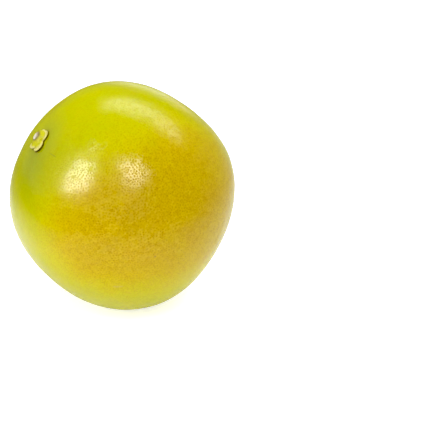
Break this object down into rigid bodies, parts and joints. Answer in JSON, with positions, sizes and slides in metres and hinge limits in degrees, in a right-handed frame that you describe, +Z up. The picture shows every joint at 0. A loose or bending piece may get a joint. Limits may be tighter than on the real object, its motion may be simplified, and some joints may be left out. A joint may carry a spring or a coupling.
{
  "type": "pomelo",
  "caption": "Whole pomelo lying on its side: round green-gold fruit with a pitted rind, a lobed calyx and a cut stalk stub, resting on a small flat spot.",
  "frame": {"origin": "middle of the small flat spot that the fruit rests on, straight below the fruit's centre", "axes": "+Z up from the surface it rests on, +Y away from the viewer of its front and +X to the viewer's right; the stem axis points to -X and up, 42 degrees above the horizontal"},
  "size_m": [0.1507, 0.1511, 0.1491],
  "materials": {
    "rind": "waxy yellow-green to gold citrus rind, pitted all over with small oil glands, semi-gloss",
    "calyx": "yellow-green dry leafy calyx with cream corky edges, satin",
    "cork": "pale grey-tan corky stalk scar, matt"
  },
  "bodies": {
    "root": {"fruit": "rind", "calyx": "calyx", "stem_stub": "cork"}
  },
  "joints": []
}
